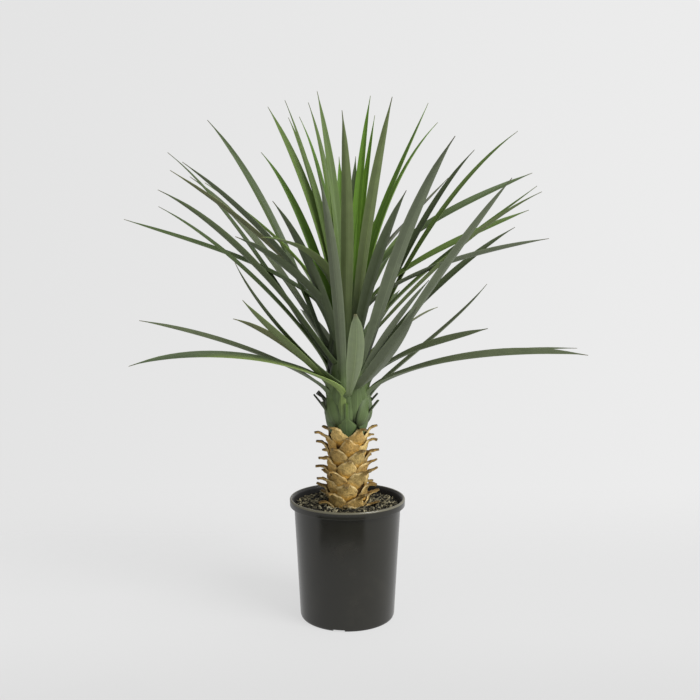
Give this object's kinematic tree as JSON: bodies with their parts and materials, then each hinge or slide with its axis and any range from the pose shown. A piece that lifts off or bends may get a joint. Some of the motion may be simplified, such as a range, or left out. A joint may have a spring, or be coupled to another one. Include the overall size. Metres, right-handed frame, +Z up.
{
  "type": "potted beaked yucca",
  "caption": "Beaked yucca house plant: a spray of narrow sword leaves on a short scaly trunk, standing in a round black nursery pot of soil.",
  "frame": {"origin": "on the floor under the middle of the pot, at the centre of the pot's flat underside", "axes": "+Z up along the pot's axis and the trunk, the plant's tallest extent; +X to the right and -Y towards the viewer in the picture"},
  "size_m": [0.8141, 0.6306, 0.9232],
  "materials": {
    "pot": "semi-gloss moulded plastic",
    "soil": "matt, crumbly bark and compost",
    "trunk": "dry, matt, fibrous leaf bases",
    "leaf_crown": "satin living leaf"
  },
  "bodies": {
    "root": {"pot": "pot", "soil": "soil", "trunk": "trunk", "leaf_crown": "leaf_crown"}
  },
  "joints": []
}
